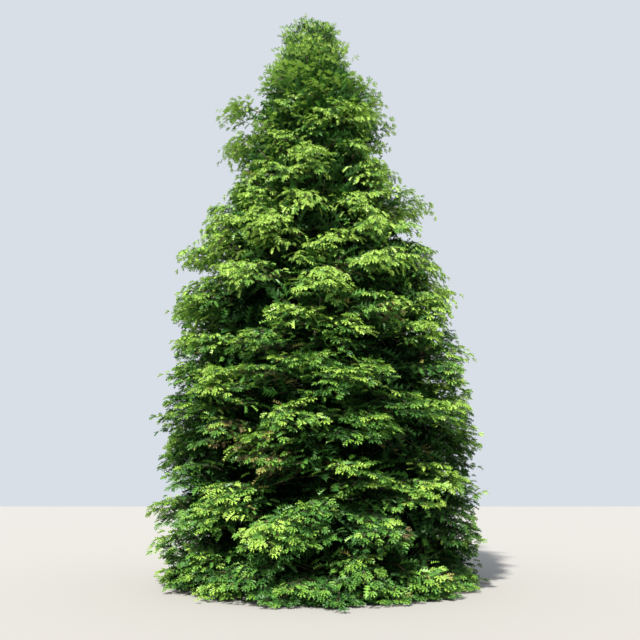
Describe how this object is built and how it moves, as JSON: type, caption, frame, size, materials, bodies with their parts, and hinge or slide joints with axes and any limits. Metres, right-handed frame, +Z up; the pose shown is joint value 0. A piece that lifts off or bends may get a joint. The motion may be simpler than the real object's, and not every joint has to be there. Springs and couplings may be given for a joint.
{
  "type": "grand fir tree",
  "caption": "Whole conifer clothed to the ground: one tapering trunk, main boughs and dense masses of flat needle sprays up to a blunt top.",
  "frame": {"origin": "middle of the flat cut under the trunk, at ground level", "axes": "+Z up the trunk; the side the crown is seen from is -Y, and the tip leans a little to -X"},
  "size_m": [6.5866, 6.5779, 13.1461],
  "materials": {
    "bark": "grey-brown bark, fissured at the foot and smoother above",
    "needles": "soft glossy green needles, bright yellow-green on new shoots and dark inside"
  },
  "bodies": {
    "root": {"trunk": "bark", "bough_1_1": "bark", "bough_1_2": "bark", "bough_1_3": "bark", "bough_1_4": "bark", "bough_1_5": "bark", "bough_2_1": "bark", "bough_2_2": "bark", "bough_2_3": "bark", "bough_2_4": "bark", "bough_2_5": "bark", "bough_3_1": "bark", "bough_3_2": "bark", "bough_3_3": "bark", "bough_3_4": "bark", "bough_3_5": "bark", "bough_4_1": "bark", "bough_4_2": "bark", "bough_4_3": "bark", "bough_4_4": "bark", "bough_4_5": "bark", "foliage_1_1": "needles", "foliage_1_2": "needles", "foliage_1_3": "needles", "foliage_1_4": "needles", "foliage_1_5": "needles", "foliage_2_1": "needles", "foliage_2_2": "needles", "foliage_2_3": "needles", "foliage_2_4": "needles", "foliage_2_5": "needles", "foliage_3_1": "needles", "foliage_3_2": "needles", "foliage_3_3": "needles", "foliage_3_4": "needles", "foliage_3_5": "needles", "foliage_4_1": "needles", "foliage_4_2": "needles", "foliage_4_3": "needles", "foliage_4_4": "needles", "foliage_4_5": "needles", "foliage_5_1": "needles", "foliage_5_2": "needles", "foliage_5_3": "needles", "foliage_5_4": "needles", "foliage_6_1": "needles", "foliage_6_2": "needles", "foliage_6_3": "needles", "foliage_6_4": "needles", "foliage_7_1": "needles", "foliage_7_2": "needles", "foliage_7_3": "needles", "foliage_8_1": "needles", "foliage_8_2": "needles", "foliage_8_3": "needles", "foliage_9_1": "needles", "foliage_9_2": "needles", "foliage_9_3": "needles", "foliage_top": "needles"}
  },
  "joints": []
}
